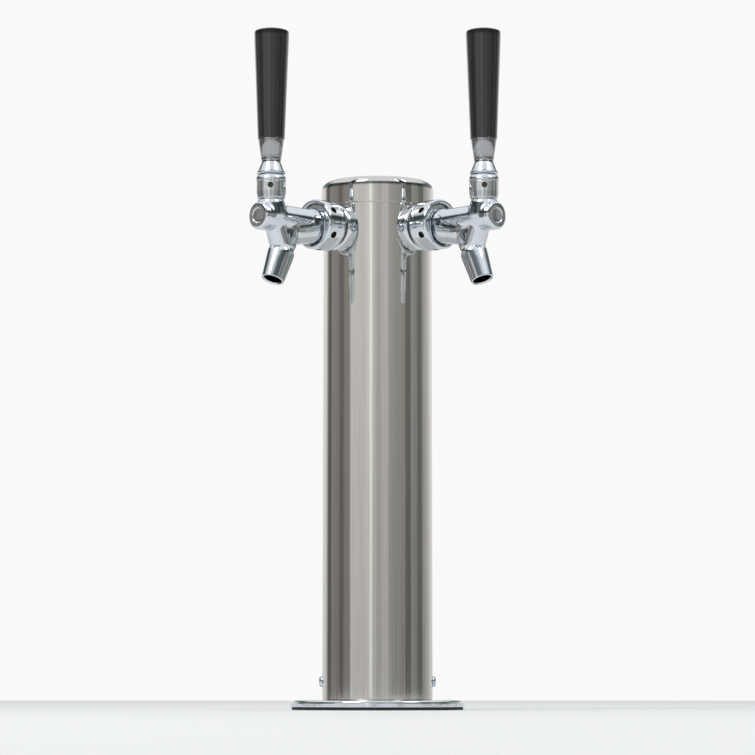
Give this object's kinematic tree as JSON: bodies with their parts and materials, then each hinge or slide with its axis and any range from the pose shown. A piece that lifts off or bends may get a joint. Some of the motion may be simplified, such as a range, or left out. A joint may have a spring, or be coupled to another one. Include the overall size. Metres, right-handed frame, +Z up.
{
  "type": "beer tap tower",
  "caption": "Round polished-steel column on a screw-down foot, with a lift-off cap and angled lever faucets, each with a tapered black knob and a coupled sliding valve",
  "frame": {"origin": "the centre of the foot on the counter, on the column axis, under the rubber gasket", "axes": "+Z up the column, -Y to the front, +X to the right as seen from the front, with a tap at 45 degrees to each side of -Y"},
  "size_m": [0.1728, 0.1465, 0.4616],
  "materials": {
    "polished_stainless": "polished",
    "chrome": "mirror plated",
    "nickel": "satin plated",
    "stainless": "turned",
    "black_plastic": "gloss",
    "white_plastic": "satin",
    "black_rubber": "matt",
    "clear_vinyl": "smooth",
    "black_duct": "satin",
    "grey_foam": "closed-cell foam"
  },
  "bodies": {
    "tower": {"base_gasket": "black_rubber", "base_flange": "chrome", "column_tube": "polished_stainless", "column_screws": "chrome", "insulation_sleeve": "grey_foam", "air_tube": "black_duct", "shank_flange_left": "chrome", "shank_saddle_left": "white_plastic", "shank_nut_left": "nickel", "shank_left": "nickel", "coupling_nut_left": "chrome", "coupling_washer_left": "black_rubber", "tail_elbow_left": "nickel", "beer_line_left": "clear_vinyl", "line_clamps_left": "stainless", "inlet_stub_left": "stainless", "faucet_body_left": "chrome", "lever_washer_left": "white_plastic", "bonnet_left": "chrome", "shank_flange_right": "chrome", "shank_saddle_right": "white_plastic", "shank_nut_right": "nickel", "shank_right": "nickel", "coupling_nut_right": "chrome", "coupling_washer_right": "black_rubber", "tail_elbow_right": "nickel", "beer_line_right": "clear_vinyl", "line_clamps_right": "stainless", "inlet_stub_right": "stainless", "faucet_body_right": "chrome", "lever_washer_right": "white_plastic", "bonnet_right": "chrome"},
    "cap": {"cap": "polished_stainless"},
    "lever_left": {"lever_left": "chrome", "ferrule_left": "chrome", "knob_left": "black_plastic"},
    "valve_left": {"valve_shaft_left": "stainless", "seat_washer_left": "black_rubber", "seat_nut_left": "stainless"},
    "lever_right": {"lever_right": "chrome", "ferrule_right": "chrome", "knob_right": "black_plastic"},
    "valve_right": {"valve_shaft_right": "stainless", "seat_washer_right": "black_rubber", "seat_nut_right": "stainless"}
  },
  "joints": [
    {"name": "cap_lift", "type": "slide", "parent": "tower", "child": "cap", "axis": [0, 0, 1], "range_m": [0, 0.03]},
    {"name": "lever_left_tilt", "type": "hinge", "parent": "tower", "child": "lever_left", "pos_m": [-0.0722, -0.0722, 0.354], "axis": [0.7071, -0.7071, 0], "range_deg": [0, 24]},
    {"name": "valve_left_travel", "type": "slide", "parent": "tower", "child": "valve_left", "axis": [-0.7071, -0.7071, 0], "range_m": [-0.0079, 0]},
    {"name": "lever_right_tilt", "type": "hinge", "parent": "tower", "child": "lever_right", "pos_m": [0.0722, -0.0722, 0.354], "axis": [0.7071, 0.7071, 0], "range_deg": [0, 24]},
    {"name": "valve_right_travel", "type": "slide", "parent": "tower", "child": "valve_right", "axis": [0.7071, -0.7071, 0], "range_m": [-0.0079, 0]}
  ],
  "couplings": [
    {"joint": "valve_left_travel", "follows": "lever_left_tilt", "m_per_rad": -0.0188},
    {"joint": "valve_right_travel", "follows": "lever_right_tilt", "m_per_rad": -0.0188}
  ]
}
